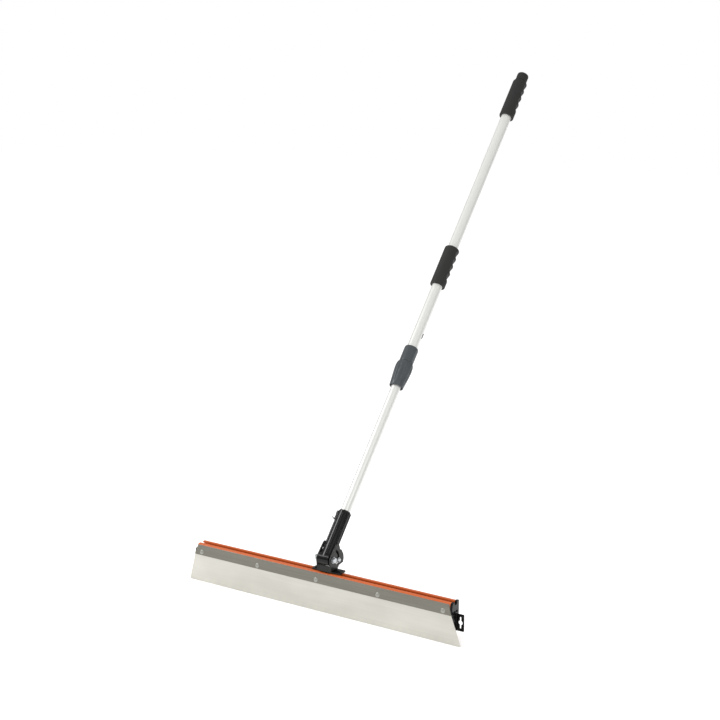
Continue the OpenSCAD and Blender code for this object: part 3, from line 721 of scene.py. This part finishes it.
def set_camera(scene):
    """A camera in front and to the right of the rake, that looks slightly down on it."""
    lens = bpy.data.cameras.new("camera")
    lens.lens = LENS_MM
    lens.sensor_width = SENSOR_MM
    lens.clip_end = 50
    camera = bpy.data.objects.new("camera", lens)
    camera.rotation_euler = (math.pi / 2 - CAMERA_DROP, 0, CAMERA_TURN)
    camera.location = CAMERA_PLACE
    scene.collection.objects.link(camera)
    scene.camera = camera


def set_room(scene, strength):
    """Even white light all round. Glossy surfaces mirror another room: dark up to eye height, and
    paler from there to a light ceiling that begins 27 degrees above it."""
    world = bpy.data.worlds.new("room")
    world.use_nodes = True
    tree = world.node_tree
    even = tree.nodes["Background"]
    even.inputs["Color"].default_value = linear("ffffff")
    even.inputs["Strength"].default_value = strength
    sight = add_node(tree, "ShaderNodeTexCoord", {})
    height = add_node(tree, "ShaderNodeSeparateXYZ", {}, [(0, sight.outputs["Generated"])])
    # 0.45 is the sine of 27 degrees
    ceiling = add_node(tree, "ShaderNodeMapRange", {"From Min": 0.0, "From Max": 0.45},
        [("Value", height.outputs["Z"])])
    tone = blend(tree, ceiling.outputs["Result"], linear("1c1c1c"), linear("d2d2d0"))
    mirrored = add_node(tree, "ShaderNodeBackground", {"Strength": strength}, [("Color", tone)])
    ray = add_node(tree, "ShaderNodeLightPath", {})
    room = add_node(tree, "ShaderNodeMixShader", {}, [(0, ray.outputs["Is Glossy Ray"]),
        (1, even.outputs[0]), (2, mirrored.outputs[0])])
    tree.links.new(room.outputs[0], tree.nodes["World Output"].inputs["Surface"])
    scene.world = world


def set_lights(scene, key_power):
    """A large soft key light from the left, and a weaker fill light from the right."""
    fill_share = 0.4
    for name, place, aim, size, power in (
            ("key light", (-2.2, -1.2, 2.4), (0, 0.3, 0.5), 1.2, key_power),
            ("fill light", (2.4, -1.4, 1.8), (0, 0.3, 0.6), 0.5, key_power * fill_share)):
        lamp = bpy.data.lights.new(name, "AREA")
        lamp.shape = "DISK"
        lamp.size = size
        lamp.energy = power
        light = bpy.data.objects.new(name, lamp)
        light.location = place
        light.rotation_euler = (Vector(place) - Vector(aim)).to_track_quat("Z", "Y").to_euler()
        scene.collection.objects.link(light)


def lay_floor():
    """A pale matt floor 24 m wide, half a millimetre below the blade's edge."""
    half_width, gap = 12, 0.0005
    bm = bmesh.new()
    bmesh.ops.create_grid(bm, x_segments=8, y_segments=8, size=half_width)
    mesh = bpy.data.meshes.new("floor")
    bm.to_mesh(mesh)
    bm.free()
    floor = finish_mesh("floor", mesh)
    floor.location.z = -gap
    material, tree, shader = new_material("painted studio floor, matt", Roughness=0.9)
    # faint clouds about 0.3 m across
    clouds = noise(tree, object_place(tree), 3.0)
    colour = blend(tree, clouds, linear("fbfbfa"), linear("ffffff"))
    tree.links.new(colour, shader.inputs["Base Color"])
    # a little light of its own keeps the floor near white
    shader.inputs["Emission Color"].default_value = linear("ffffff")
    shader.inputs["Emission Strength"].default_value = 0.12
    mesh.materials.append(material)


class RAKE_OT_studio(bpy.types.Operator):
    """Sets the camera, the soft lights and the pale floor"""
    bl_idname = "rake.studio"
    bl_label = "Studio"

    def execute(self, context):
        scene = context.scene
        studio = scene.rake_studio
        scene.view_settings.view_transform = "Standard"
        set_camera(scene)
        set_room(scene, studio.room)
        set_lights(scene, studio.key)
        if studio.floor:
            lay_floor()
        return {"FINISHED"}


OPERATORS = (RAKE_OT_studio, RAKE_OT_materials, RAKE_OT_head, RAKE_OT_bracket, RAKE_OT_socket,
    RAKE_OT_tubes, RAKE_OT_twist_lock, RAKE_OT_grips)


class RAKE_PT_sidebar(bpy.types.Panel):
    """Lists the steps that build the rake"""
    bl_idname = "RAKE_PT_sidebar"
    bl_label = "Snow rake"
    bl_space_type = "VIEW_3D"
    bl_region_type = "UI"
    bl_category = "Snow rake"

    def draw(self, context):
        for group in (context.scene.rake_colours, context.scene.rake_sizes, context.scene.rake_studio):
            for name in group.__annotations__:
                self.layout.prop(group, name)
        for operator in OPERATORS:
            self.layout.operator(operator.bl_idname)


CLASSES = (RakeColours, RakeSizes, RakeStudio) + OPERATORS + (RAKE_PT_sidebar,)


def register():
    for cls in CLASSES:
        bpy.utils.register_class(cls)
    bpy.types.Scene.rake_colours = PointerProperty(type=RakeColours)
    bpy.types.Scene.rake_sizes = PointerProperty(type=RakeSizes)
    bpy.types.Scene.rake_studio = PointerProperty(type=RakeStudio)


def unregister():
    del bpy.types.Scene.rake_studio
    del bpy.types.Scene.rake_sizes
    del bpy.types.Scene.rake_colours
    for cls in reversed(CLASSES):
        bpy.utils.unregister_class(cls)


def main():
    register()
    for operator in OPERATORS:
        getattr(bpy.ops.rake, operator.bl_idname.split(".")[1])()


if __name__ == "__main__":
    main()
